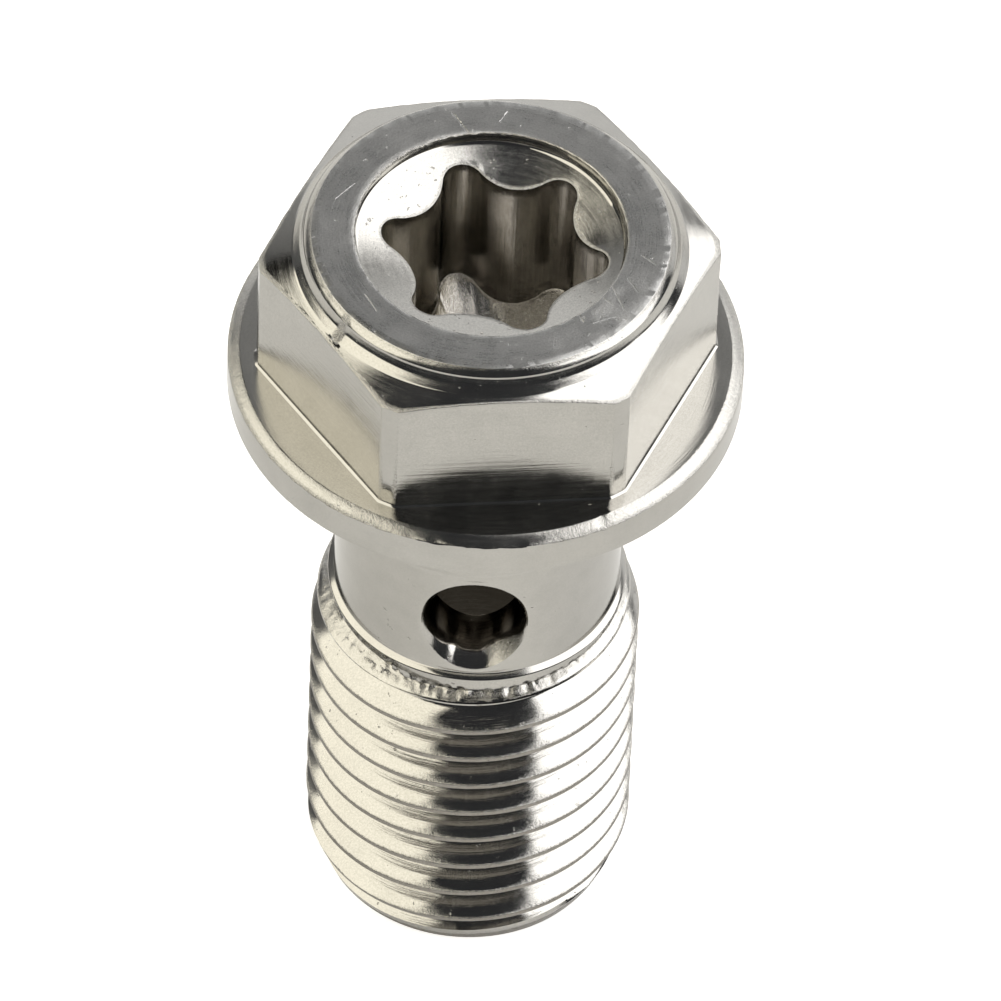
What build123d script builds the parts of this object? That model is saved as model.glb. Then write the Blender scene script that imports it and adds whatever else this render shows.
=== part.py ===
from build123d import *
import os
from math import cos, radians, tan

# Banjo bolt: one piece of steel, turned from hexagon bar, drilled for oil flow and
# broached with a six-lobe socket. Millimetres. +Z runs up the bolt's centre line,
# Z = 0 is the flat face of the threaded end, and the cross hole runs along Y.

# Shank
thread_diameter = 9.86  # crests of the M10 x 1.25 thread, drawn as a plain cylinder
shank_length = 20.6  # flange seat to threaded end
neck_length = 8.45  # plain part below the flange, where the oil ring sits
neck_relief = 0.635  # the neck lies this far inside the thread crests, all round
neck_foot_ledge = 0.18  # flat step at the foot of the neck
run_out_angle = 15.0  # cone from the ledge to the full crests, from the centre line
end_chamfer_width = 0.52
end_chamfer_length = 1.45
seat_corner_radius = 0.20  # where the neck meets the seat

# Hexagon head with its flange
across_flats = 12.0
head_height = 6.4  # seat to top
corner_turning = 0.148  # turned off each point of the hexagon
hexagon_turn = 6.4  # degrees, the front flat's normal from the cross hole's mouth
hexagon_root_radius = 0.12
flange_overhang = 0.85  # rim beyond the turned corners
flange_rim_height = 1.15
flange_bevel_width = 0.34
flange_bevel_height = 0.18

# Turned top, from the flats inwards: cone over the corners, step, shelf and collar
cone_inset = 0.20
cone_drop = 0.65  # top of the head down to the cone's upper edge
cone_slope = 17.0
step_inset = 0.28
shelf_drop = 0.35
collar_foot_inset = 0.55
collar_top_inset = 0.66
collar_edge_radius = 0.06

# Six-lobe socket in a dished recess
lobe_tip_diameter = 6.75
lobe_valley_diameter = 5.06
lobe_radius = 0.61
socket_turn = -9.0  # degrees, first lobe from +X
socket_offset = 0.126  # the broach ran off centre along +X
socket_depth = 5.83  # top of the head to the floor below a valley
socket_floor_slope = 30.0
recess_rim = 0.625  # recess wall beyond the lobe tips
recess_depth = 0.44
recess_corner_radius = 0.20
dish_rim = 0.355  # dish edge beyond the lobe tips
dish_slope = 16.0

# Oil way: a blind bore up from the threaded end, met by the cross hole in the neck
bore_diameter = 5.0
bore_point_angle = 118.0
bore_mouth_chamfer = 0.3
bore_overrun = 0.2  # full bore above the top of the cross hole
cross_hole_diameter = 3.0
cross_hole_drop = 6.29  # seat down to the cross hole's centre line
countersink_depth = 0.41  # at the crown of the neck, 90 degrees in all

# Radii and heights that follow
thread_radius = thread_diameter / 2
neck_radius = thread_radius - neck_relief
flat_radius = across_flats / 2
corner_radius = flat_radius / cos(radians(30)) - corner_turning
flange_radius = corner_radius + flange_overhang
seat_z = shank_length
neck_foot_z = seat_z - neck_length
flange_top_z = seat_z + flange_rim_height + flange_bevel_height
top_z = seat_z + head_height
cross_hole_z = seat_z - cross_hole_drop
CUTTER_REACH = 1.0  # how far each cutter stands out of the metal


def half_section(*points):
    """Face in the XZ plane from (radius, height) points."""
    return Plane.XZ * make_face(Polyline(*points, close=True))


def rounded(section, radius, *corners):
    """The section with the named (radius, height) corners rounded."""
    for r, z in corners:
        section = fillet(section.vertices().sort_by_distance((r, 0, z))[:1], radius)
    return section


def shank_and_flange():
    """Threaded shank, neck and flange, up to the foot of the hexagon."""
    ledge_radius = neck_radius + neck_foot_ledge
    run_out = (thread_radius - ledge_radius) / tan(radians(run_out_angle))
    section = half_section(
        (0, 0),
        (thread_radius - end_chamfer_width, 0),
        (thread_radius, end_chamfer_length),
        (thread_radius, neck_foot_z - run_out),
        (ledge_radius, neck_foot_z),
        (neck_radius, neck_foot_z),
        (neck_radius, seat_z),
        (flange_radius, seat_z),
        (flange_radius, seat_z + flange_rim_height),
        (flange_radius - flange_bevel_width, flange_top_z),
        (0, flange_top_z),
    )
    section = rounded(section, seat_corner_radius, (neck_radius, seat_z))
    return revolve(section, Axis.Z)


def hexagon_head():
    """Hexagon bar with its points turned round and its top turned in steps."""
    cone_radius = flat_radius - cone_inset
    cone_z = top_z - cone_drop
    corner_z = cone_z - (corner_radius - cone_radius) * tan(radians(cone_slope))
    collar_radius = flat_radius - collar_top_inset
    section = half_section(
        (0, seat_z + flange_rim_height),
        (corner_radius, seat_z + flange_rim_height),
        (corner_radius, corner_z),
        (cone_radius, cone_z),
        (flat_radius - step_inset, top_z - shelf_drop),
        (flat_radius - collar_foot_inset, top_z - shelf_drop),
        (collar_radius, top_z),
        (0, top_z),
    )
    section = rounded(section, collar_edge_radius, (collar_radius, top_z))
    hexagon = RegularPolygon(flat_radius, 6, major_radius=False)
    bar = extrude(Rot(0, 0, hexagon_turn) * hexagon, top_z + CUTTER_REACH)
    return revolve(section, Axis.Z) & bar


def lobed_outline():
    """Six lobes joined by six hollow flanks, arcs throughout."""
    tip = lobe_tip_diameter / 2
    valley = lobe_valley_diameter / 2
    reach = tip - lobe_radius
    half_pitch = radians(30)
    across = reach * cos(half_pitch)
    flank_radius = (reach**2 + valley**2 - 2 * valley * across - lobe_radius**2) / (
        2 * (lobe_radius - valley + across)
    )
    lobe_centre = Vector(reach, 0)
    flank_centre = Vector(valley + flank_radius, 0).rotate(Axis.Z, 30)
    meeting = lobe_centre + (flank_centre - lobe_centre).normalized() * lobe_radius
    mirrored = Vector(meeting.X, -meeting.Y)
    lobe = ThreePointArc(mirrored, (tip, 0), meeting)
    flank = ThreePointArc(
        meeting, Vector(valley, 0).rotate(Axis.Z, 30), mirrored.rotate(Axis.Z, 60)
    )
    arcs = [Rot(0, 0, 60 * k) * arc for k in range(6) for arc in (lobe, flank)]
    return make_face(Curve() + arcs)


def drive_recess():
    """Recess, dish and lobed socket, as one cutter."""
    tip = lobe_tip_diameter / 2
    recess_radius = tip + recess_rim
    recess_z = top_z - recess_depth
    recess = half_section(
        (0, recess_z),
        (recess_radius, recess_z),
        (recess_radius, top_z + CUTTER_REACH),
        (0, top_z + CUTTER_REACH),
    )
    recess = rounded(recess, recess_corner_radius, (recess_radius, recess_z))
    dish_radius = tip + dish_rim
    dish = half_section(
        (0, recess_z - dish_radius * tan(radians(dish_slope))),
        (dish_radius, recess_z),
        (dish_radius, top_z),
        (0, top_z),
    )
    floor_rise = tan(radians(socket_floor_slope))
    apex_z = top_z - socket_depth - lobe_valley_diameter / 2 * floor_rise
    punch = half_section(
        (0, apex_z),
        (recess_radius, apex_z + recess_radius * floor_rise),
        (recess_radius, recess_z),
        (0, recess_z),
    )
    lobes = Pos(0, 0, apex_z) * extrude(Rot(0, 0, socket_turn) * lobed_outline(), top_z - apex_z)
    socket = revolve(dish, Axis.Z) + (revolve(punch, Axis.Z) & lobes)
    return revolve(recess, Axis.Z) + Pos(socket_offset, 0, 0) * socket


def axial_bore():
    """Blind drilled bore with a chamfered mouth in the threaded end."""
    radius = bore_diameter / 2
    mouth_radius = radius + bore_mouth_chamfer
    full_z = cross_hole_z + cross_hole_diameter / 2 + bore_overrun
    section = half_section(
        (0, -CUTTER_REACH),
        (mouth_radius, -CUTTER_REACH),
        (mouth_radius, 0),
        (radius, bore_mouth_chamfer),
        (radius, full_z),
        (0, full_z + radius / tan(radians(bore_point_angle / 2))),
    )
    return revolve(section, Axis.Z)


def cross_hole():
    """Hole drilled right through the neck along Y, countersunk at both mouths."""
    radius = cross_hole_diameter / 2
    sink_start = neck_radius - countersink_depth
    outside = neck_radius + CUTTER_REACH
    section = make_face(
        Polyline(
            (0, -outside),
            (radius + outside - sink_start, -outside),
            (radius, -sink_start),
            (radius, sink_start),
            (radius + outside - sink_start, outside),
            (0, outside),
            close=True,
        )
    )
    return Pos(0, 0, cross_hole_z) * revolve(section, Axis.Y)


def banjo_bolt():
    """The whole bolt, in the order it is made."""
    blank = shank_and_flange() + hexagon_head()
    level_faces = blank.faces().filter_by(Plane.XY)
    flange_top = level_faces.sort_by(lambda face: abs(face.center().Z - flange_top_z))[0]
    hexagon_root = flange_top.inner_wires()[0].edges()
    blank = fillet(hexagon_root, hexagon_root_radius)
    return blank - drive_recess() - axial_bore() - cross_hole()


os.makedirs("parts", exist_ok=True)
bolt = banjo_bolt()
export_step(bolt, "parts/banjo_bolt.step")
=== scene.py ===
import math
import bmesh
import bpy
from mathutils import Matrix, Vector, noise


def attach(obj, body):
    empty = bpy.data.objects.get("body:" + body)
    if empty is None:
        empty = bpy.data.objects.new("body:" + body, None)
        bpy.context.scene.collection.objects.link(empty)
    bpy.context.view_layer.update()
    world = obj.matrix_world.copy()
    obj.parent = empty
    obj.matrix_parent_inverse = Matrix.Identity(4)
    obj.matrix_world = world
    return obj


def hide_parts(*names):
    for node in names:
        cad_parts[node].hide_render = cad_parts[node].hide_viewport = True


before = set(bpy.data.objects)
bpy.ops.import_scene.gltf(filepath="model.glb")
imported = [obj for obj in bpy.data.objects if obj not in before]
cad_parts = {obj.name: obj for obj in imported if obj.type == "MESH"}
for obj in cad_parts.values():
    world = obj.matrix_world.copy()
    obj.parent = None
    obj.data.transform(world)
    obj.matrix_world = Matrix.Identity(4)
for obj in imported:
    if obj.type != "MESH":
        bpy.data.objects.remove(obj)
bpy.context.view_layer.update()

# ---- Head, flange and neck ----
# Turned in one setting from steel bar and left bright, with the fine rings of the tool on
# every turned face. The six flats are milled afterwards, across the bolt's axis.
# The mesh is made in millimetres from the threaded end and brought to metres at the end.
top = 27.00
recess_radius = 4.00
recess_floor = 26.56
face_edge = 5.27
cone_inner = 5.84
cone_outer = 6.735
cone_top = 26.338
cone_foot = 26.05
cone_slope = math.tan(math.radians(17))
corner_radius = 6.78
flat_top = 26.010
flat_foot = 22.05
foot_inner = 6.858
foot_outer = 7.25
flange_radius = 7.63
flange_top = 21.93
seat = 20.60
fillet = 0.2
neck_radius = 4.295
groove_heights = (16.80, 16.575)
groove_depth = 0.008
groove_half_width = 0.015
hole_top = 16.37
hole_bottom = 12.25
hole_rows = 28
columns = 300
column_step = math.tau / columns
front = math.radians(-90)


def corner_arc(centre_radius, centre_height, start):
    """Rows round a quarter turn of the fillet's size, to the micrometre, from an angle in degrees."""
    arc = []
    for k in range(5):
        angle = math.radians(start + 22.5 * k)
        arc.append((
            round(centre_radius + fillet * math.cos(angle), 3),
            round(centre_height + fillet * math.sin(angle), 3),
        ))
    return arc


# Each row is a radius and a height, from the recess in the head down to the thread.
blank_rows = [(recess_radius - 0.3, recess_floor)]
blank_rows += corner_arc(recess_radius - fillet, recess_floor + fillet, -90)
blank_rows += [(recess_radius, 26.85), (recess_radius, 26.94), (4.010, 26.98)]
blank_rows += [(radius, top) for radius in (4.045, 4.12, 4.25, 4.50, 4.75, 5.00, 5.26)]
# the collar is stepped, where the tool stopped and started
blank_rows += [
    (5.275, 26.993), (5.295, 26.975), (5.38, 26.893), (5.465, 26.815), (5.474, 26.800), (5.477, 26.780),
    (5.50, 26.735), (5.54, 26.660), (5.590, 26.565), (5.605, 26.548), (5.66, 26.497), (5.73, 26.425),
    (5.785, 26.370), (5.805, 26.350),
]
# the cone down to the hexagon, with a broken edge, and the hexagon's corners
blank_rows += [
    (cone_inner, cone_top), (6.08, 26.264), (6.33, 26.188), (6.58, 26.111), (6.740, 26.062),
    (6.768, 26.051), (6.779, 26.038),
]
blank_rows += [(corner_radius, height) for height in (flat_top, 25.90, 25.2, 24.2, 23.2, 22.4, flat_foot)]
# the flats' foot, the flange's top, its rounded rim and the seat
blank_rows += [
    (6.780, 21.978), (6.784, 21.968), (6.848, 21.937), (foot_inner, flange_top), (7.05, flange_top),
    (foot_outer, flange_top), (7.295, 21.924), (7.40, 21.872), (7.51, 21.814), (7.60, 21.766),
    (7.622, 21.748), (flange_radius, 21.72), (flange_radius, 21.55), (flange_radius, 21.20),
    (flange_radius, 20.90), (flange_radius, 20.68), (7.624, 20.635), (7.60, 20.607),
    (7.56, seat), (6.8, seat), (6.0, seat), (5.2, seat),
]
blank_rows += corner_arc(neck_radius + fillet, seat - fillet, 90)
blank_rows += [(neck_radius, 19.4), (neck_radius, 18.4), (neck_radius, 17.4)]
for groove in groove_heights:
    for depth, offset in ((0, 2), (groove_depth, 1), (groove_depth, -1), (0, -2)):
        blank_rows.append((neck_radius - depth, groove + offset * groove_half_width))
for step in range(hole_rows + 1):
    blank_rows.append((neck_radius, hole_top + (hole_bottom - hole_top) * step / hole_rows))
# a small cone leads out from the neck to the thread
blank_rows += [
    (4.299, 12.237), (4.311, 12.226), (4.335, 12.213), (4.365, 12.196), (4.40, 12.175), (4.435, 12.152),
    (4.455, 12.138), (4.470, 12.124), (4.480, 12.106),
]


def spin_rows(rows, start, steps, rise=0.0):
    """Spins a row of points one turn about the bolt's axis, climbing by rise, as a mesh of its own."""
    strip_steps = 10
    strip_angle = math.tau * strip_steps / steps
    part = bmesh.new()
    row_number = part.verts.layers.int.new("row")
    points = []
    for number, (radius, height) in enumerate(rows):
        point = part.verts.new((radius * math.cos(start), radius * math.sin(start), height))
        point[row_number] = number
        points.append(point)
    edges = [part.edges.new(pair) for pair in zip(points, points[1:])]
    bmesh.ops.spin(
        part, geom=points + edges, cent=(0, 0, 0), axis=(0, 0, 1),
        dvec=(0, 0, rise / steps), angle=strip_angle, steps=strip_steps,
    )
    bmesh.ops.spin(
        part, geom=part.verts[:] + part.edges[:] + part.faces[:], cent=(0, 0, 0), axis=(0, 0, 1),
        dvec=(0, 0, rise * strip_steps / steps), angle=math.tau - strip_angle,
        steps=steps // strip_steps - 1, use_duplicate=True,
    )
    bmesh.ops.remove_doubles(part, verts=part.verts, dist=0.0003)
    return part


blank = spin_rows(blank_rows, front, columns)
# Torn or burred edges are marked by the mesh's own wear value, from 0 to 1, which the
# finish reads: the recess's mouth, the corners of the rim and the edges of the hexagon.
blank_wear = blank.verts.layers.float.new("wear")


def scuff(place, size, seed):
    """A smooth random value from -1 to 1 that changes over about size millimetres."""
    return noise.noise(place / size + Vector((seed, -seed, 0.37 * seed)))


def near(value, middle, reach, peak=1.0):
    """1 at a middle value, falling evenly to 0 away from it. A higher peak widens the part at 1."""
    return max(0.0, min(1.0, peak - abs(value - middle) / reach))


# The six flats, milled at 12 mm across. The mesh's columns are gathered at the narrow
# strips of turned surface that are left at the six corners.
flat_distance = 6.0
head_turn = math.radians(-83.6)
strip_edge = math.degrees(math.acos(flat_distance / corner_radius))
edge_gap = 0.12
half_flat_columns = 21
side_columns = columns // 6
sector = [-30.0, -28.95, -strip_edge - edge_gap, -strip_edge + edge_gap]
for k in range(-half_flat_columns, half_flat_columns + 1):
    sector.append((strip_edge - 3 * edge_gap) * k / half_flat_columns)
sector += [strip_edge - edge_gap, strip_edge + edge_gap, 28.95]
edge_places = (2, 3, side_columns - 3, side_columns - 2)
first_corner = round((head_turn - math.radians(30) - front) / column_step)
# rows are told apart by their heights and radii, with a little to spare
margin = 0.01
edge_wear = 0.4
cone_wear = 0.45
for v in blank.verts:
    radius = math.hypot(v.co.x, v.co.y)
    in_height = flange_top - margin < v.co.z < cone_top + margin
    if not (in_height and cone_inner - margin < radius < foot_outer + margin):
        continue
    if radius > 6.7 and v.co.z > 26.0:
        v[blank_wear] = cone_wear
    column = round((math.atan2(v.co.y, v.co.x) - front) / column_step)
    side, place = divmod(column - first_corner, side_columns)
    angle = head_turn + math.radians(60 * side + sector[place])
    if place in edge_places and flat_foot - margin < v.co.z < flat_top + margin:
        v[blank_wear] = edge_wear
    outline = min(flat_distance / math.cos(math.radians(sector[place])), corner_radius)
    shift = outline - corner_radius
    if v.co.z > cone_foot:
        share_out = min(1, (radius - cone_inner) / (cone_outer - cone_inner))
        share_up = share_out
    elif v.co.z > flat_foot - margin:
        share_out = 1
        share_up = min(1, (v.co.z - flat_foot) / (flat_top - flat_foot))
    else:
        share_out = min(1, (foot_outer - radius) / (foot_outer - foot_inner))
        share_up = 0
    radius += shift * share_out
    v.co.z -= shift * cone_slope * share_up
    if v[blank_wear] > 0:
        radius += 0.016 * scuff(v.co, 0.30, 7.9)
    v.co.x = radius * math.cos(angle)
    v.co.y = radius * math.sin(angle)

# How the edges are marked. Angles are in degrees round the bolt from its right-hand side, so
# the front is at 270, a reach is how far a mark goes each way, and depths are in millimetres.
burr_angle, burr_reach, burr_pull, burr_sink = 140, 75, 0.09, 0.040
drag_angle, drag_reach = 318, 38
knock_angle, knock_reach, knock_depth, knock_start = 220.6, 1.7, 0.10, 5.40
rim_edge, rim_tear = 21.755, 0.09
smooth_angle, smooth_reach, smooth_fade = 268, 22, 10
nick_angle, nick_reach, nick_depth = 298.6, 0.9, 0.05
for v in blank.verts:
    radius = math.hypot(v.co.x, v.co.y)
    angle = math.degrees(math.atan2(v.co.y, v.co.x)) % 360
    if top - 0.07 < v.co.z and radius < 4.2:
        # the mouth of the recess was faced last, and keeps a burr that is worst at the back left
        burr = 0.25 + 0.75 * near(angle, burr_angle, burr_reach)
        v[blank_wear] = burr if radius < 4.1 else 0.4 * burr
        rough = scuff(v.co, 0.16, 3.1) + 0.6 * scuff(v.co, 0.07, 5.3)
        pull = 1 - burr_pull * burr * max(0.0, rough + 0.15) / radius
        v.co.x *= pull
        v.co.y *= pull
        if radius < 4.1:
            v.co.z += burr_sink * burr * min(0.0, scuff(v.co, 0.12, 8.7))
    elif top - 0.02 < v.co.z and radius < face_edge:
        # the end face is dragged and marked at its front right
        drag = near(angle, drag_angle, drag_reach)
        v[blank_wear] = 0.5 * drag * max(0.2, scuff(v.co, 0.6, 3.7) + 0.6)
    elif face_edge < radius < 5.88 and v.co.z > 26.3:
        # light turning marks on the collar, and a knock across its foot at the front left
        if radius < 5.30:
            v[blank_wear] = 0.30
            v.co.z += 0.012 * scuff(v.co, 0.2, 2.2)
        knock = near(angle, knock_angle, knock_reach)
        v[blank_wear] = max(v[blank_wear], 0.7 * min(1.0, 2 * knock))
        v.co.z -= knock_depth * knock * max(0.0, min(1.0, 12 * (radius - knock_start)))
    elif foot_outer < radius and 21.70 < v.co.z < flange_top:
        # the rim's upper edge is torn, least at the very front, and nicked at the front right
        near_edge = near(v.co.z, rim_edge, 0.05)
        smooth = min(0.85, near(angle, smooth_angle, smooth_fade, smooth_reach / smooth_fade))
        v[blank_wear] = (0.25 + 0.6 * near_edge) * (1 - smooth)
        torn = max(0.0, scuff(v.co, 0.26, 6.4) + 0.7 * scuff(v.co, 0.10, 1.9))
        v.co.z -= rim_tear * near_edge * torn
        v.co.z -= nick_depth * near(angle, nick_angle, nick_reach)
    elif seat - 0.05 < v.co.z < seat + 0.10 and radius > 7.5:
        # the rim's lower edge is only a little rough
        v[blank_wear] = 0.3
        v.co.z += 0.008 * scuff(v.co, 0.25, 4.5)

# One finish for the whole bolt, set differently for each way that a face was cut: marks
# that run with the tool, a fine grain, a few pits, and rougher metal where it was torn.
millimetres = 1000.0


def new_group(name, inputs, outputs):
    """An empty shader group with the named sockets, each a name and a socket type."""
    group = bpy.data.node_groups.new(name, "ShaderNodeTree")
    for socket, kind in inputs:
        group.interface.new_socket(socket, in_out="INPUT", socket_type=kind)
    for socket, kind in outputs:
        group.interface.new_socket(socket, in_out="OUTPUT", socket_type=kind)
    return group, group.nodes.new("NodeGroupInput").outputs, group.nodes.new("NodeGroupOutput").inputs


def connect(socket, value):
    """Feeds an input from another node's output, or sets it to a plain value."""
    if isinstance(value, bpy.types.NodeSocket):
        socket.id_data.links.new(value, socket)
    else:
        socket.default_value = value


def feed(node, **values):
    """Feeds a node's named inputs, where a name's underscores stand for spaces."""
    for name, value in values.items():
        connect(node.inputs[name.replace("_", " ")], value)


def calculate(tree, operation, *values):
    """Adds a Math node to a tree, fed by sockets or plain numbers, and gives its result."""
    node = tree.nodes.new("ShaderNodeMath")
    node.operation = operation
    for socket, value in zip(node.inputs, values):
        connect(socket, value)
    return node.outputs["Value"]


def add_shares(tree, total, *shares):
    """Adds values to a total in turn, each multiplied by the share of it that counts."""
    for value, share in shares:
        total = calculate(tree, "MULTIPLY_ADD", value, share, total)
    return total


def combine(tree, operation, *values, scale=None, result="Vector"):
    """Adds a Vector Math node to a tree, fed by sockets, and gives its result."""
    node = tree.nodes.new("ShaderNodeVectorMath")
    node.operation = operation
    for socket, value in zip(node.inputs, values):
        connect(socket, value)
    if scale is not None:
        feed(node, Scale=scale)
    return node.outputs[result]


def speckle(tree, place, scale, detail, roughness):
    """Adds a noise texture to a tree and gives its value, which is about 0.5 on average."""
    node = tree.nodes.new("ShaderNodeTexNoise")
    feed(node, Vector=place, Scale=scale, Detail=detail, Roughness=roughness)
    return node.outputs["Fac"]


def from_average(tree, value):
    """How far a noise texture's value is above its average."""
    return calculate(tree, "SUBTRACT", value, 0.5)


def remap(tree, value, low, high, to_low, to_high):
    """Adds a Map Range node to a tree, held at its ends, and gives its result."""
    node = tree.nodes.new("ShaderNodeMapRange")
    feed(node, Value=value, From_Min=low, From_Max=high, To_Min=to_low, To_Max=to_high)
    return node.outputs["Result"]


def distance(tree, x, y):
    """Works out in a tree how far a point is from zero, from its place along two axes."""
    squares = calculate(tree, "ADD", calculate(tree, "MULTIPLY", x, x), calculate(tree, "MULTIPLY", y, y))
    return calculate(tree, "SQRT", squares)


# Where a turned face's marks lie: rings about an axis, as a vector that changes fast
# across the rings and slowly along them.
ring_place, given, put = new_group(
    "ring_place",
    [("Place", "NodeSocketVector"), ("Across", "NodeSocketFloat"), ("Along", "NodeSocketFloat"),
     ("Height Share", "NodeSocketFloat")],
    [("Marks", "NodeSocketVector")],
)
parts = ring_place.nodes.new("ShaderNodeSeparateXYZ")
feed(parts, Vector=given["Place"])
x, y, z = parts.outputs
lifted = calculate(ring_place, "MULTIPLY", z, given["Height Share"])
ring_number = calculate(ring_place, "ADD", distance(ring_place, x, y), lifted)
joined = ring_place.nodes.new("ShaderNodeCombineXYZ")
for socket, value, scale in zip(joined.inputs, (ring_number, x, y), ("Across", "Along", "Along")):
    connect(socket, calculate(ring_place, "MULTIPLY", value, given[scale]))
connect(put["Marks"], joined.outputs["Vector"])

# The finish itself. Heights are in millimetres.
tear_height = 0.055
pit_edge = 0.035
steel_finish, given, put = new_group(
    "steel_finish",
    [("Place", "NodeSocketVector"), ("Marks", "NodeSocketVector"), ("Wear", "NodeSocketFloat"),
     ("Mark Depth", "NodeSocketFloat"), ("Grain Depth", "NodeSocketFloat"),
     ("Pit Depth", "NodeSocketFloat"), ("Pits Above", "NodeSocketFloat"), ("Mottle", "NodeSocketFloat")],
    [("Height", "NodeSocketFloat"), ("Tone", "NodeSocketFloat"), ("Dullness", "NodeSocketFloat")],
)
marks = speckle(steel_finish, given["Marks"], scale=1.0, detail=5.0, roughness=0.62)
grain = speckle(steel_finish, given["Place"], scale=17.0, detail=3.0, roughness=0.75)
patches = speckle(steel_finish, given["Place"], scale=0.9, detail=4.0, roughness=0.6)
torn = speckle(steel_finish, given["Place"], scale=9.0, detail=4.0, roughness=0.75)
pores = speckle(steel_finish, given["Place"], scale=3.6, detail=3.0, roughness=0.62)
full_pit = calculate(steel_finish, "ADD", given["Pits Above"], pit_edge)
pitted = remap(steel_finish, pores, given["Pits Above"], full_pit, 0.0, 1.0)
mark = from_average(steel_finish, marks)
grit = from_average(steel_finish, grain)
patch = from_average(steel_finish, patches)
tearing = calculate(steel_finish, "MULTIPLY", from_average(steel_finish, torn), given["Wear"])
height = calculate(steel_finish, "MULTIPLY", mark, given["Mark Depth"])
pit = calculate(steel_finish, "MULTIPLY", pitted, given["Pit Depth"])
height = add_shares(steel_finish, height, (grit, given["Grain Depth"]), (pit, -1.0), (tearing, tear_height))
connect(put["Height"], height)
dullness = add_shares(
    steel_finish, remap(steel_finish, patches, 0.3, 0.7, 0.1, 0.7),
    (mark, 1.2), (grit, 0.6), (pitted, 0.5), (given["Wear"], 0.9),
)
connect(put["Dullness"], remap(steel_finish, dullness, 0.0, 1.6, 0.0, 1.0))
mottled_grit = calculate(steel_finish, "MULTIPLY", grit, given["Mottle"])
mottled_mark = calculate(steel_finish, "MULTIPLY", mark, given["Mottle"])
tone = add_shares(
    steel_finish, 0.6,
    (patch, 0.9), (mottled_grit, 4.0), (mottled_mark, 0.9), (tearing, 1.2), (pitted, -0.9),
)
connect(put["Tone"], remap(steel_finish, tone, 0.0, 1.0, 0.0, 1.0))

# A scratch or small dent: how deep it is, from 0 to 1, round the line from Start to End.
# It's deepest over the middle of its width, and its edges are ragged.
scratch, given, put = new_group(
    "scratch",
    [("Place", "NodeSocketVector"), ("Start", "NodeSocketVector"), ("End", "NodeSocketVector"),
     ("Width", "NodeSocketFloat")],
    [("Cut", "NodeSocketFloat")],
)
out_from_start = combine(scratch, "SUBTRACT", given["Place"], given["Start"])
whole = combine(scratch, "SUBTRACT", given["End"], given["Start"])
share = calculate(scratch, "DIVIDE", combine(scratch, "DOT_PRODUCT", out_from_start, whole, result="Value"),
                  combine(scratch, "DOT_PRODUCT", whole, whole, result="Value"))
nearest = combine(scratch, "SCALE", whole, scale=remap(scratch, share, 0.0, 1.0, 0.0, 1.0))
aside = combine(scratch, "LENGTH", combine(scratch, "SUBTRACT", out_from_start, nearest), result="Value")
ragged = speckle(scratch, given["Place"], scale=9.0, detail=2.0, roughness=0.6)
outer_width = calculate(scratch, "MULTIPLY", given["Width"], remap(scratch, ragged, 0.3, 0.7, 0.3, 1.5))
inner_width = calculate(scratch, "MULTIPLY", outer_width, 0.3)
connect(put["Cut"], remap(scratch, aside, inner_width, outer_width, 1.0, 0.0))

bright = (0.575, 0.562, 0.528, 1)
dull = (0.435, 0.424, 0.396, 1)


def steel(name, marks_run, across, along, depths, roughness, mottle=0.3, pits_above=0.735, centre=0.0,
          height_share=0.6, tones=(dull, bright), scratches=()):
    """A steel finish. marks_run is rings, level or upright; depths are of the marks, grain and pits in
    millimetres; roughness is its lowest and highest."""
    material = bpy.data.materials.new(name)
    material.use_nodes = True
    tree = material.node_tree
    coordinates = tree.nodes.new("ShaderNodeTexCoord")
    mapping = tree.nodes.new("ShaderNodeMapping")
    feed(mapping, Vector=coordinates.outputs["Object"], Location=(-centre, 0, 0), Scale=(millimetres,) * 3)
    place = mapping.outputs["Vector"]
    if marks_run == "rings":
        marks_node = tree.nodes.new("ShaderNodeGroup")
        marks_node.node_tree = ring_place
        feed(marks_node, Place=place, Across=across, Along=along, Height_Share=height_share)
        marks = marks_node.outputs["Marks"]
    else:
        stretch = {"level": (along, along, across), "upright": (across, across, along)}
        marks_node = tree.nodes.new("ShaderNodeMapping")
        feed(marks_node, Vector=place, Scale=stretch[marks_run])
        marks = marks_node.outputs["Vector"]
    wear = tree.nodes.new("ShaderNodeAttribute")
    wear.attribute_name = "wear"
    mark_depth, grain_depth, pit_depth = depths
    finish = tree.nodes.new("ShaderNodeGroup")
    finish.node_tree = steel_finish
    feed(
        finish, Place=place, Marks=marks, Wear=wear.outputs["Fac"], Mark_Depth=mark_depth,
        Grain_Depth=grain_depth, Pit_Depth=pit_depth, Pits_Above=pits_above, Mottle=mottle,
    )
    colour = tree.nodes.new("ShaderNodeMix")
    colour.data_type = "RGBA"
    feed(colour, Factor=finish.outputs["Tone"], A=tones[0], B=tones[1])
    height = finish.outputs["Height"]
    for start, end, width, depth in scratches:
        line = tree.nodes.new("ShaderNodeGroup")
        line.node_tree = scratch
        feed(line, Place=place, Start=start, End=end, Width=width)
        height = calculate(tree, "MULTIPLY_ADD", line.outputs["Cut"], -depth, height)
    bump = tree.nodes.new("ShaderNodeBump")
    feed(bump, Height=height, Strength=1, Distance=1 / millimetres)
    dullness = remap(tree, finish.outputs["Dullness"], 0, 1, roughness[0], roughness[1])
    feed(
        tree.nodes["Principled BSDF"], Metallic=1, Base_Color=colour.outputs["Result"], Roughness=dullness,
        Normal=bump.outputs["Normal"],
    )
    return material


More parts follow.
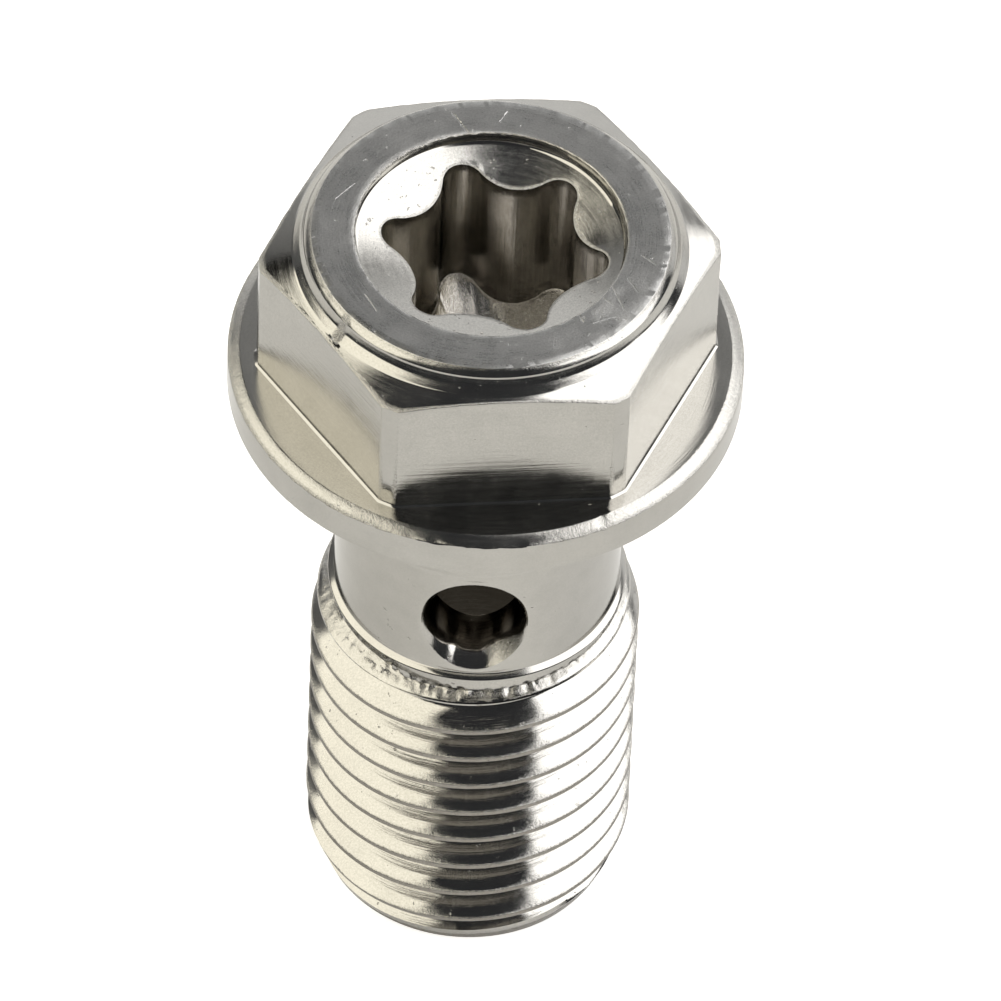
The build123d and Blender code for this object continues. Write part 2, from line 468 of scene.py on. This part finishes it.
# Each dent or scratch has a start, an end, a width and a depth.
neck_dents = [
    ((-1.90, -3.85, 15.62), (-1.86, -3.87, 15.58), 0.055, 0.010),
    ((-2.72, -3.33, 13.88), (-2.66, -3.37, 13.86), 0.06, 0.010),
    ((-2.57, -3.44, 13.30), (-2.57, -3.44, 13.24), 0.05, 0.008),
    ((-1.94, -3.83, 13.15), (-1.92, -3.84, 13.10), 0.06, 0.010),
    ((1.43, -4.05, 15.48), (1.45, -4.04, 15.45), 0.05, 0.008),
    ((1.68, -3.95, 14.92), (1.72, -3.94, 14.90), 0.05, 0.008),
    ((3.05, -3.03, 14.23), (3.06, -3.02, 14.18), 0.06, 0.010),
]
face_scratches = [
    ((-1.30, 4.75, top), (-0.745, 3.877, top), 0.045, 0.030),
    ((0.12, 4.447, top), (0.343, 4.861, top), 0.035, 0.016),
    ((2.623, -2.932, top), (2.779, -3.314, top), 0.035, 0.022),
    ((3.35, -2.35, top), (3.62, -2.60, top), 0.03, 0.006),
    ((3.10, -3.35, top), (3.75, -3.05, top), 0.022, 0.006),
    ((4.05, -1.55, top), (4.35, -2.05, top), 0.03, 0.005),
    ((3.60, -1.90, top), (3.95, -2.75, top), 0.022, 0.005),
    ((4.42, -0.60, top), (4.85, -0.95, top), 0.025, 0.005),
    ((-4.60, 1.10, top), (-4.05, 1.75, top), 0.02, 0.008),
    ((-3.60, -2.60, top), (-3.25, -3.20, top), 0.02, 0.007),
]
turned_steel = steel(
    "turned_steel", "rings", across=12, along=0.35, depths=(0.0012, 0.0004, 0.006), roughness=(0.06, 0.30),
    mottle=0.22, scratches=neck_dents,
)
faced_steel = steel(
    "faced_steel", "rings", across=30, along=0.6, depths=(0.0036, 0.0018, 0.008), roughness=(0.24, 0.50),
    mottle=0.7, pits_above=0.69, tones=((0.41, 0.407, 0.395, 1), (0.57, 0.565, 0.55, 1)),
    scratches=face_scratches,
)
milled_steel = steel(
    "milled_steel", "level", across=9, along=0.25, depths=(0.0052, 0.0007, 0.006), roughness=(0.10, 0.34),
    mottle=0.5,
)
shouldered_steel = steel(
    "shouldered_steel", "rings", across=16, along=0.6, depths=(0.0028, 0.0012, 0.010),
    roughness=(0.10, 0.32), mottle=0.5, pits_above=0.70,
)
finishes = [turned_steel, faced_steel, milled_steel, shouldered_steel]
turned, faced, milled, shouldered = range(4)
for f in blank.faces:
    centre = f.calc_center_median()
    radius = centre.xy.length
    on_collar = centre.z > 26.35 and face_edge - 0.02 < radius < 5.79
    on_flange = 21.76 < centre.z < flange_top + margin and radius > 6.0
    f.smooth = True
    if centre.z > top - margin:
        f.material_index = faced
    elif 21.95 < centre.z < cone_foot and abs(f.normal.z) < 0.15 and radius < 6.75:
        f.material_index = milled
    elif on_collar or on_flange:
        f.material_index = shouldered

# ---- Six-lobe socket ----
# A shallow dish turned in the head's mouth, a little off the axis, and a six-lobe socket
# broached through it down to the cone that the pilot drill left. The broach leaves long
# upright marks on the walls and a torn edge round the mouth.
socket_centre = 0.126
socket_turn = math.radians(-9)
dish_radius = 3.73
dish_reach = 3.90
dish_slope = math.tan(math.radians(16))
lobe_radius = 0.61
lobe_tip = 3.375
valley = 2.53
floor_slope = math.tan(math.radians(30))
floor_tip_height = 21.66
lip_outset = 0.045
wall_drop = 0.035
foot_rise = 0.05
wall_rows = 14
half_lobe_turn = math.radians(30)
half_lobe_cos = math.cos(half_lobe_turn)
lobe_centre = lobe_tip - lobe_radius
# the flank's arc touches the lobe's arc, so their centres are the sum of their radii apart
flank_radius = (
    (lobe_centre ** 2 + valley ** 2 - 2 * lobe_centre * valley * half_lobe_cos - lobe_radius ** 2)
    / (2 * (lobe_radius - valley + lobe_centre * half_lobe_cos))
)
flank_centre = valley + flank_radius
flank_x = flank_centre * half_lobe_cos
flank_y = flank_centre * math.sin(half_lobe_turn)
lobe_sweep = math.atan2(flank_y, flank_x - lobe_centre)
lobe_arc = lobe_radius * lobe_sweep
flank_arc = flank_radius * (lobe_sweep - half_lobe_turn)


def socket_outline(column, outset):
    """A point on the six-lobe outline, from the socket's centre, for one of the mesh's columns."""
    sectors = (front + column * column_step - socket_turn) / math.radians(60)
    lobe = round(sectors)
    along = (sectors - lobe) * 2 * (lobe_arc + flank_arc)
    if abs(along) < lobe_arc:
        turn = along / lobe_radius
        x = lobe_centre + (lobe_radius + outset) * math.cos(turn)
        y = (lobe_radius + outset) * math.sin(turn)
    else:
        side = math.copysign(1, along)
        turn = math.pi + lobe_sweep - (abs(along) - lobe_arc) / flank_radius
        x = flank_x + (flank_radius - outset) * math.cos(turn)
        y = side * (flank_y + (flank_radius - outset) * math.sin(turn))
    point = Vector((x, y, 0))
    point.rotate(Matrix.Rotation(socket_turn + lobe * math.radians(60), 3, "Z"))
    return point


def dish_height(reach):
    """Height of the dish at a distance from the socket's centre."""
    return recess_floor - (dish_radius - reach) * dish_slope


def floor_height(reach):
    """Height of the drilled floor at a distance from the socket's centre."""
    return floor_tip_height - (lobe_tip - reach) * floor_slope


def dish_point(angle, reach):
    """The point of the dish at a distance from the bolt's axis, in the bolt's own place."""
    x, y = reach * math.cos(angle), reach * math.sin(angle)
    return Vector((x, y, dish_height(math.hypot(x - socket_centre, y))))


# the recess's corner is cut by the dish, out to dish_reach
for v in blank.verts:
    radius = math.hypot(v.co.x, v.co.y)
    if recess_floor - 0.06 < v.co.z < recess_floor + 0.24 and radius < recess_radius + margin:
        dish = dish_point(math.atan2(v.co.y, v.co.x), max(radius, dish_reach))
        if radius <= dish_reach:
            v.co = dish
        else:
            v.co.z = max(v.co.z, dish.z + 0.004)

# Each row has a kind and an amount: a share of the way from the dish's edge to the outline, an
# outset from the outline, a drop below the mouth, a share of the way down the wall, a rise
# above the floor, or a share of the way from the floor's middle to the wall.
socket_rows = [("dish", share) for share in (0.0, 0.04, 0.3, 0.6, 0.9)]
socket_rows += [("lip", lip_outset), ("lip", 0.012)]
last_lip_row = len(socket_rows) - 1
socket_rows += [("wall", wall_drop)]
socket_rows += [("down", k / wall_rows) for k in range(1, wall_rows)]
socket_rows += [("foot", foot_rise), ("foot", 0.015)]
socket_rows += [("floor", share) for share in (0.97, 0.8, 0.6, 0.4, 0.2, 0.0)]
socket = spin_rows([(3.9 - 0.1 * k, 26.0) for k in range(len(socket_rows))], front, columns)
socket_row = socket.verts.layers.int["row"]
socket_wear = socket.verts.layers.float.new("wear")
for v in socket.verts:
    kind, amount = socket_rows[v[socket_row]]
    angle = math.atan2(v.co.y, v.co.x)
    column = round((angle - front) / column_step)
    wall = socket_outline(column, 0)
    mouth = dish_height(wall.length)
    floor = floor_height(wall.length)
    if kind == "dish":
        edge = dish_point(angle, dish_reach)
        rim = Vector((edge.x - socket_centre, edge.y, 0))
        point = rim.lerp(socket_outline(column, lip_outset), amount)
        point.z = dish_height(point.length)
    elif kind == "lip":
        # the edge is pushed up outside the mouth and down inside it
        point = socket_outline(column, amount)
        point.z = mouth + (0.008 if amount == lip_outset else -0.006) + 0.010 * scuff(point, 0.2, 9.1)
        v[socket_wear] = 0.5
    elif kind == "wall":
        point = wall
        point.z = mouth - amount
        v[socket_wear] = 0.25
    elif kind == "down":
        # the broach's teeth leave shallow upright furrows, which end where the next tooth took over
        furrow = scuff(Vector((wall.x, wall.y, 0.25 * amount)), 0.28, 2.7) + 0.5 * scuff(wall, 0.13, 7.7)
        point = wall * (1 + 0.012 * furrow / wall.length * min(1.0, 4 * amount))
        point.z = mouth - wall_drop + (floor + foot_rise - mouth + wall_drop) * amount
    elif kind == "foot":
        point = wall * (1 - (foot_rise - amount) * 0.4)
        point.z = floor + amount
        v[socket_wear] = 0.4
    else:
        # chips pushed down by the broach lie crumpled on the floor's outer part
        point = wall * amount
        crumple = scuff(point, 0.5, 1.3) + 0.5 * scuff(point, 0.22, 4.1)
        point.z = floor_height(point.length) + 0.035 * crumple * amount
        v[socket_wear] = 1.0 if point.x > 0.3 else 0.15
    v.co = point + Vector((socket_centre, 0, 0))

dished_steel = steel(
    "dished_steel", "rings", across=13, along=0.5, depths=(0.0012, 0.0006, 0.012), roughness=(0.13, 0.42),
    mottle=0.8, pits_above=0.67, centre=socket_centre, height_share=0.0,
)
broached_steel = steel(
    "broached_steel", "upright", across=11, along=0.25, depths=(0.0125, 0.0010, 0.010),
    roughness=(0.08, 0.28), mottle=0.6, tones=((0.31, 0.29, 0.26, 1), (0.54, 0.52, 0.48, 1)),
)
finishes += [dished_steel, broached_steel]
dished, broached = 4, 5
for f in socket.faces:
    lowest_row = max(v[socket_row] for v in f.verts)
    f.smooth = True
    f.material_index = dished if lowest_row <= last_lip_row else broached

# ---- Thread ----
# M10 x 1.25, right-hand, cut on the turned shank with a single point: 60 degree flanks, a
# narrow crest and a round root. It climbs one pitch a turn, fades out under the neck and is
# cut by the taper. The tool has torn the crests' upper edges, and chattered where it ran out.
pitch = 1.25
crest_radius = 4.93
root_radius = 4.23
thread_start = 90
crest_height = 10.2606 + pitch / 2
turns_above, turns_below = 1, 9
thread_top = 12.08
# Down one pitch, from the crest's upper edge round the root to the next ridge's upper flank.
# Each row has a height from that edge, a radius and how much it's torn, from 0 to 1.
thread_profile = [
    (0.010, 4.913, 0.5), (-0.001, 4.925, 0.6), (-0.014, crest_radius, 0.6), (-0.078, crest_radius, 0.4),
    (-0.142, crest_radius, 0.3), (-0.166, 4.913, 0.2), (-0.188, 4.875, 0), (-0.330, 4.629, 0),
    (-0.489, 4.3535, 0), (-0.583, 4.261, 0), (-0.703, root_radius, 0), (-0.823, 4.261, 0),
    (-0.917, 4.3535, 0), (-1.025, 4.541, 0), (-1.130, 4.723, 0), (-1.218, 4.875, 0.1),
]
ragged_rows = 3
lower_flank_end = 9
thread_rows = []
for turn in range(turns_above, -turns_below - 1, -1):
    for offset, radius, _ in thread_profile:
        thread_rows.append((radius, crest_height + turn * pitch + offset))
thread = spin_rows(thread_rows, math.radians(thread_start), columns, rise=pitch)
thread_row = thread.verts.layers.int["row"]
thread_wear = thread.verts.layers.float.new("wear")
# the root rises to last_root where the thread ends, between two angles of its climb
fade_start = 225.0
fade_end = 275.0
last_root = 4.44
# the crests narrow above the run-out's foot, and more steeply in the taper at the threaded end
runout_foot = 10.45
runout_slope = math.tan(math.radians(15))
taper_top = 1.45
taper_depth = 0.52
# the last turn's upper edge starts a little above its crest and sinks below it, over lip_fall_turn
# degrees, and its torn upper flank leans back to the neck
lip_rise = 0.07
lip_fall = 0.24
lip_fall_turn = 120
last_flank_height = 0.60
last_flank_slope = 1.732
chatter_top = 0.40
stroke_lean = 0.2
degree_length = 0.077


def last_ridge(angle):
    """How many degrees round the last turn an angle is, and the height of its crest there."""
    degrees = (math.degrees(angle) - thread_start) % 360
    return degrees, crest_height + pitch * degrees / 360


for v in thread.verts:
    radius = math.hypot(v.co.x, v.co.y)
    angle = math.atan2(v.co.y, v.co.x)
    profile_row = v[thread_row] % len(thread_profile)
    wear = thread_profile[profile_row][2]
    turns = (v.co.z - crest_height - 0.05 - pitch * (angle - math.radians(thread_start)) / math.tau) / pitch
    climbed = math.degrees(angle) + 360 * math.floor(turns + 1e-6)
    faded = max(0.0, min(1.0, (climbed - fade_start) / (fade_end - fade_start)))
    floor_radius = root_radius + (last_root - root_radius) * faded
    limit = crest_radius
    if v.co.z > runout_foot:
        limit = crest_radius - (v.co.z - runout_foot) * runout_slope
    if v.co.z < taper_top:
        limit = crest_radius - (taper_top - v.co.z) * taper_depth / taper_top
    new_radius = min(max(radius, floor_radius), limit)
    last_turn, ridge_height = last_ridge(angle)
    lip_height = ridge_height + lip_rise - lip_fall * min(1, last_turn / lip_fall_turn)
    lip_radius = crest_radius - (lip_height - runout_foot) * runout_slope
    above_lip = v.co.z - lip_height
    if 0 < above_lip < last_flank_height:
        new_radius = min(new_radius, max(floor_radius, lip_radius - above_lip * last_flank_slope))
    ragged = scuff(v.co, 0.16, 5.9) + 0.7 * scuff(v.co, 0.08, 3.3)
    new_radius -= 0.016 * wear * max(0.0, ragged + 0.2)
    if profile_row < ragged_rows:
        v.co.z += 0.010 * ragged
    above_lip = v.co.z - lip_height
    chatter = max(0.0, min(1.0, (above_lip - 0.02) / 0.06, (lip_height + chatter_top - v.co.z) / 0.15))
    if chatter > 0:
        # the tool chattered as it left the last turn, and tore its flank in leaning strokes
        around = math.degrees(angle) + 90
        stroke_place = around / (1 + stroke_lean * above_lip) * degree_length
        stroke = Vector((stroke_place, v.co.z * 0.6, 4.4))
        facing = max(0.25, near(abs(around), 25, 60, 1.2))
        torn_out = chatter * facing * (scuff(stroke, 0.11, 7.1) + 0.7 * scuff(stroke, 0.055, 2.9))
        new_radius += 0.050 * torn_out
        v.co.z += 0.045 * torn_out
        wear = 0.25 * chatter
    v[thread_wear] = wear
    v.co.x *= new_radius / radius
    v.co.y *= new_radius / radius

bmesh.ops.remove_doubles(thread, verts=thread.verts, dist=0.0005)
for cut_height, side in ((thread_top, 1), (0, -1)):
    bmesh.ops.bisect_plane(
        thread, geom=thread.verts[:] + thread.edges[:] + thread.faces[:], dist=1e-6,
        plane_co=(0, 0, cut_height), plane_no=(0, 0, side), clear_outer=True,
    )
threaded_steel = steel(
    "threaded_steel", "rings", across=7, along=0.18, depths=(0.0060, 0.0006, 0.008), roughness=(0.05, 0.26),
    mottle=0.5, pits_above=0.70, height_share=0.2,
)
# The crests and the ridges' lower flanks are given a darker colour: painted shade under each ridge, which
# the upper flanks below also mirror.
crest_steel_painted_shade = steel(
    "crest_steel_painted_shade", "rings", across=9, along=0.6, depths=(0.0030, 0.0012, 0.012), roughness=(0.15, 0.45),
    mottle=0.6, pits_above=0.68, tones=((0.25, 0.232, 0.205, 1), (0.40, 0.38, 0.345, 1)),
)
finishes += [threaded_steel, crest_steel_painted_shade]
threaded, crest_painted_shade = 6, 7
# faces on the crests and lower flanks, except near the last turn, take the darker colour of painted shade
for f in thread.faces:
    centre = f.calc_center_median()
    last_turn, ridge_height = last_ridge(math.atan2(centre.y, centre.x))
    under = all(0 < v[thread_row] % len(thread_profile) <= lower_flank_end for v in f.verts)
    f.smooth = True
    f.material_index = crest_painted_shade if under and centre.z < ridge_height - 0.4 else threaded

# ---- Oil bore ----
# Drilled blind up the shank from the threaded end, with the drill's point at its top and a
# small chamfer at its mouth.
bore_radius = 2.5
bore_top = 15.95
bore_bottom = 12.67
bore_rows = [(2.84, 0.0), (2.80, 0.006), (2.52, 0.28)]
bore_rows += [(bore_radius, height) for height in (0.32, 3.0, 6.0, 9.0, 11.5)]
for step in range(hole_rows + 1):
    bore_rows.append((bore_radius, bore_bottom + (bore_top - bore_bottom) * step / hole_rows))
bore_rows += [(2.49, 16.01), (2.44, 16.046), (1.6, 16.55), (0.8, 17.03), (0.0, 17.51)]
bore = spin_rows(bore_rows, front, columns // 2)
bore.verts.layers.float.new("wear")
# The bore's walls are coloured dark, as painted shade inside the bore; the cross hole's walls inside its
# countersinks take the same colour.
bore_steel_painted_shade = steel(
    "bore_steel_painted_shade", "rings", across=10, along=0.4, depths=(0.0040, 0.0010, 0.010), roughness=(0.08, 0.35),
    tones=((0.20, 0.18, 0.155, 1), (0.36, 0.34, 0.30, 1)),
)
finishes.append(bore_steel_painted_shade)
bore_painted_shade = 8


def finish_faces(faces, finish):
    """Gives faces one finish, and smooth shading."""
    for f in faces:
        f.smooth = True
        f.material_index = finish


finish_faces(bore.faces, bore_painted_shade)

# The four turned and cut meshes become one, joined under the neck and at the threaded end.
bolt = bmesh.new()
for part in (blank, socket, thread, bore):
    joining = bpy.data.meshes.new("joining")
    part.to_mesh(joining)
    part.free()
    bolt.from_mesh(joining)
    bpy.data.meshes.remove(joining)


def open_edges(inside):
    """The open edges of the mesh whose both ends pass a test."""
    return [e for e in bolt.edges if len(e.link_faces) == 1 and all(inside(v.co) for v in e.verts)]


def bridge(edges, finish):
    """Joins two open loops of the mesh with faces of one finish, and gives the faces."""
    faces = bmesh.ops.bridge_loops(bolt, edges=edges)["faces"]
    finish_faces(faces, finish)
    return faces


under_neck = open_edges(lambda p: thread_top - 0.08 < p.z < thread_top + 0.05 and p.xy.length > 4)
threaded_end = open_edges(lambda p: p.z < 0.001)
bridge(under_neck, threaded)
bridge(threaded_end, threaded)

# ---- Cross hole ----
# Drilled right through the neck after turning, and countersunk at both mouths. The drill
# tore the countersink's foot deeper at the lower right, and a little at the lower left.
hole_radius = 1.5
hole_height = 14.31
countersink_start = 3.885
hole_columns = 144
patch_columns = 22


def depth_at(round_radius, side):
    """How far forward a round surface of the bolt is at a distance to one side of its axis."""
    return math.sqrt(round_radius ** 2 - side ** 2)


def countersink_edge(turn):
    """Radius of the countersink's outer edge, where its cone meets the round neck."""
    radius = 1.7
    for _ in range(30):
        radius = hole_radius + depth_at(neck_radius, radius * math.cos(turn)) - countersink_start
    return radius


def tear(turn):
    """How far the countersink is torn deeper at a place round its foot, from 0 to 1."""
    degrees = math.degrees(turn)
    right = near(degrees, -50, 20, 1.6)
    left = near(degrees, -113, 8, 1.4)
    return max(right, 0.3 * left)


def hole_point(turn, ring):
    """A point of one ring of the hole's mesh, from just outside the countersink to just inside the bore."""
    kind, amount = ring
    edge = countersink_edge(turn)
    torn_slope = 1.1 * tear(turn)
    if kind == "neck":
        radius = edge + amount
        depth = depth_at(neck_radius, radius * math.cos(turn))
    elif kind == "edge":
        radius = edge
        depth = depth_at(neck_radius, radius * math.cos(turn)) - amount
    elif kind == "sink":
        radius = hole_radius + (edge - hole_radius) * amount
        depth = countersink_start + radius - hole_radius - torn_slope * (edge - radius)
    elif kind == "foot":
        radius = hole_radius
        depth = countersink_start - amount - torn_slope * (edge - hole_radius)
    elif kind == "wall":
        radius = hole_radius
        bore_depth = depth_at(bore_radius, radius * math.cos(turn))
        depth = countersink_start + (bore_depth - countersink_start) * amount
    else:
        radius = hole_radius + amount
        depth = depth_at(bore_radius, radius * math.cos(turn))
    return radius * math.cos(turn), depth, hole_height + radius * math.sin(turn)


hole_rings = [
    ("neck", 0.18), ("neck", 0.035), ("edge", 0.008), ("sink", 0.9), ("sink", 0.5), ("sink", 0.1),
    ("foot", 0.02), ("wall", 0.35), ("wall", 0.55), ("wall", 0.75), ("wall", 0.97),
    ("bore", 0.008), ("bore", 0.07),
]
# the countersinks keep the bright shouldered finish, and the hole's other rings take the bore's dark
# colour, painted shade inside the hole
ring_finish = {"neck": turned, "edge": turned, "sink": shouldered}
bolt_wear = bolt.verts.layers.float["wear"]
neck_reach = patch_columns * math.degrees(column_step)
bore_reach = 2 * neck_reach
for facing in (-1, 1):
    # a patch of the neck and of the bore is taken out, and the hole's mesh is let into it
    doomed = []
    for f in bolt.faces:
        centre = f.calc_center_median()
        radius = centre.xy.length
        if centre.y * facing < 0:
            continue
        off = abs(math.degrees(math.atan2(centre.x, abs(centre.y))))
        on_neck = radius > 4.2 and off < neck_reach and hole_bottom < centre.z < hole_top
        on_bore = radius < 2.6 and off < bore_reach and bore_bottom < centre.z < bore_top
        if on_neck or on_bore:
            doomed.append(f)
    bmesh.ops.delete(bolt, geom=doomed, context="FACES")
    circle = bmesh.ops.create_circle(bolt, cap_ends=False, segments=hole_columns, radius=1.0)["verts"]
    turns = {v: math.atan2(v.co.y, v.co.x) for v in circle}
    edges = list(dict.fromkeys(e for v in circle for e in v.link_edges))
    for v in circle:
        x, depth, z = hole_point(turns[v], hole_rings[0])
        v.co = (x, depth * facing, z)
    for ring in hole_rings[1:]:
        grown = bmesh.ops.extrude_edge_only(bolt, edges=edges)["geom"]
        edges = [g for g in grown if isinstance(g, bmesh.types.BMEdge)]
        for v in [g for g in grown if isinstance(g, bmesh.types.BMVert)]:
            # the new vertex sits on the old one, whose turn is known by its place
            turn = math.atan2(v.co.z - hole_height, v.co.x)
            x, depth, z = hole_point(turn, ring)
            v.co = (x, depth * facing, z)
            v[bolt_wear] = 0.35 if ring[0] in ("edge", "foot") else 0
            if ring[0] == "sink" and turn > math.radians(-85):
                v[bolt_wear] = 0.45 * tear(turn)
        faces = [g for g in grown if isinstance(g, bmesh.types.BMFace)]
        finish_faces(faces, ring_finish.get(ring[0], bore_painted_shade))
    neck_loops = open_edges(lambda p: p.y * facing > 0 and p.xy.length > 4.2 and 12.2 < p.z < 16.4)
    bore_loops = open_edges(lambda p: p.y * facing > 0 and p.xy.length < 2.6 and 12.6 < p.z < 16.0)
    gaps = ((neck_loops, neck_radius, turned), (bore_loops, bore_radius, bore_painted_shade))
    for loops, round_radius, finish in gaps:
        bridging = bridge(loops, finish)
        across = dict.fromkeys(e for f in bridging for e in f.edges if e not in loops)
        cut = bmesh.ops.subdivide_edges(bolt, edges=list(across), cuts=3, use_grid_fill=True)
        for v in {g for g in cut["geom_inner"] if isinstance(g, bmesh.types.BMVert)}:
            if v.is_valid:
                flat = v.co.xy.normalized() * round_radius
                v.co.x, v.co.y = flat.x, flat.y

bmesh.ops.remove_doubles(bolt, verts=bolt.verts, dist=0.0008)
bmesh.ops.dissolve_degenerate(bolt, edges=bolt.edges, dist=0.0001)
bmesh.ops.recalc_face_normals(bolt, faces=bolt.faces)
bmesh.ops.scale(bolt, vec=Vector((1, 1, 1)) / millimetres, verts=bolt.verts)


def new_object(name, shape, materials):
    """Makes an object from a finished shape and its materials."""
    mesh = bpy.data.meshes.new(name)
    shape.to_mesh(mesh)
    shape.free()
    for material in materials:
        mesh.materials.append(material)
    thing = bpy.data.objects.new(name, mesh)
    bpy.context.scene.collection.objects.link(thing)
    return thing


steel_bolt = new_object("banjo_bolt_steel", bolt, finishes)
steel_bolt.data.set_sharp_from_angle(angle=math.radians(30))
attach(steel_bolt, "root")
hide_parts("banjo_bolt")

# ---- Stage and light ----
# A plain pale floor that runs on to a plain backdrop far behind, and two softboxes, one on
# each side, as bright metal is lit in a studio. Floor and backdrop glow white for the camera.
floor_half_width = 8
backdrop_half_width = 4.5
backdrop_half_height = 2.0
backdrop_distance = 2.6
backdrop_middle = 2.0


def stage_material(name, camera_glow, mirror_glow, glow_colour):
    """Pale matt card that glows by one strength for the camera and another for metal that mirrors it."""
    material = bpy.data.materials.new(name)
    material.use_nodes = True
    tree = material.node_tree
    rays = tree.nodes.new("ShaderNodeLightPath").outputs
    mirrored = calculate(tree, "MAXIMUM", rays["Is Glossy Ray"], rays["Is Transmission Ray"])
    mirror_strength = mirror_glow if isinstance(mirror_glow, float) else mirror_glow(tree)
    glow = calculate(tree, "MULTIPLY", mirrored, mirror_strength)
    glow = add_shares(tree, glow, (rays["Is Camera Ray"], camera_glow))
    feed(
        tree.nodes["Principled BSDF"], Base_Color=(0.74, 0.74, 0.735, 1), Roughness=1.0,
        Specular_IOR_Level=0.0, Emission_Color=glow_colour, Emission_Strength=glow,
    )
    return material


def backdrop_glow(tree):
    """The backdrop is bright up to 1.3 m, but not at its far left, and fades to dim by 1.7 m. A softer
    glow spreads from its middle, 1.4 m up, and is nowhere below 0.1."""
    coordinates = tree.nodes.new("ShaderNodeTexCoord")
    parts = tree.nodes.new("ShaderNodeSeparateXYZ")
    feed(parts, Vector=coordinates.outputs["Object"])
    to_side, up = parts.outputs["X"], parts.outputs["Z"]
    away = distance(tree, calculate(tree, "SUBTRACT", up, 1.4), to_side)
    lit_height = remap(tree, up, 1.3, 1.7, 0.85, 0.09)
    lit_side = remap(tree, to_side, -2.1, -1.8, 0.05, 1.0)
    lit = calculate(tree, "MULTIPLY", lit_height, lit_side)
    return calculate(tree, "MAXIMUM", lit, remap(tree, away, 0.2, 2.4, 0.50, 0.10))


floor_shape = bmesh.new()
bmesh.ops.create_grid(floor_shape, x_segments=1, y_segments=1, size=floor_half_width)
pale_floor = stage_material("pale_floor", 0.80, 0.26, (1.0, 0.985, 0.955, 1))
floor_object = new_object("floor", floor_shape, [pale_floor])

backdrop_shape = bmesh.new()
bmesh.ops.create_grid(backdrop_shape, x_segments=1, y_segments=1, size=1)
corners = backdrop_shape.verts
upright = Matrix.Rotation(math.radians(90), 3, "X")
bmesh.ops.scale(backdrop_shape, vec=(backdrop_half_width, backdrop_half_height, 1), verts=corners)
bmesh.ops.rotate(backdrop_shape, cent=(0, 0, 0), matrix=upright, verts=corners)
bmesh.ops.translate(backdrop_shape, vec=(0, backdrop_distance, backdrop_middle), verts=corners)
pale_backdrop = stage_material("pale_backdrop", 0.95, backdrop_glow, (0.99, 0.99, 0.99, 1))
backdrop_object = new_object("backdrop", backdrop_shape, [pale_backdrop])


def softbox(name, corner, wide_to, high_to, watts, colour):
    """A rectangular soft light given by one corner and the two corners next to it."""
    corner, wide_to, high_to = Vector(corner), Vector(wide_to), Vector(high_to)
    wide = wide_to - corner
    high = high_to - corner
    lamp = bpy.data.lights.new(name, "AREA")
    lamp.shape = "RECTANGLE"
    lamp.size = wide.length
    lamp.size_y = high.length
    lamp.energy = watts
    lamp.color = colour
    lamp_object = bpy.data.objects.new(name, lamp)
    bpy.context.scene.collection.objects.link(lamp_object)
    centre = corner + (wide + high) / 2
    across = wide.normalized()
    facing = wide.cross(high).normalized()
    if facing.dot(centre) < 0:
        facing.negate()
    aim = Matrix((across, facing.cross(across), facing)).transposed().to_4x4()
    lamp_object.matrix_world = Matrix.Translation(centre) @ aim
    lamp_object.visible_camera = False


softbox(
    "left_softbox", corner=(-0.33, -0.75, 1.0), wide_to=(-0.33, 0.68, 1.0), high_to=(-1.24, -0.75, 0.45),
    watts=7.9, colour=(1.0, 0.955, 0.82),
)
softbox(
    "right_softbox", corner=(0.08, 0.25, 1.0), wide_to=(0.444, -0.51, 0.6), high_to=(0.36, 0.672, 0.48),
    watts=5.0, colour=(1.0, 0.99, 0.985),
)

# A black card, out of view, masks the inner back corner of the left softbox.
black_card = bpy.data.materials.new("black_card")
black_card.use_nodes = True
black_shader = black_card.node_tree.nodes["Principled BSDF"]
feed(black_shader, Base_Color=(0.03, 0.03, 0.03, 1), Roughness=1.0, Specular_IOR_Level=0.0)
mask_corners = ((-0.305, 0.25, 0.996), (-0.62, 0.79, 0.805), (-0.275, 0.84, 1.01))
mask_shape = bmesh.new()
bmesh.ops.contextual_create(mask_shape, geom=[mask_shape.verts.new(corner) for corner in mask_corners])
mask = new_object("softbox_mask", mask_shape, [black_card])
mask.visible_camera = False

# The world is white behind everything for the camera, and nearly black in the metal.
world = bpy.data.worlds.new("studio")
world.use_nodes = True
world_nodes = world.node_tree.nodes
seen = world_nodes.new("ShaderNodeLightPath").outputs["Is Camera Ray"]
world_colour = world_nodes.new("ShaderNodeMix")
world_colour.data_type = "RGBA"
feed(world_colour, Factor=seen, A=(0.040, 0.042, 0.045, 1), B=(1.0, 1.0, 1.0, 1))
feed(world_nodes["Background"], Color=world_colour.outputs["Result"])
bpy.context.scene.world = world
bpy.context.scene.view_settings.view_transform = "Standard"

# ---- Camera ----
# A long lens looking down at the head from the front.
camera = bpy.data.cameras.new("camera")
camera.lens = 531.194
camera.sensor_width = 36
camera.clip_start = 0.01
camera.clip_end = 30
camera_object = bpy.data.objects.new("camera", camera)
bpy.context.scene.collection.objects.link(camera_object)
camera_object.location = (0, -0.2902624, 0.3468219)
camera_object.rotation_euler = (math.radians(41.16576), math.radians(-1.66787), math.radians(1.78452))
bpy.context.scene.camera = camera_object
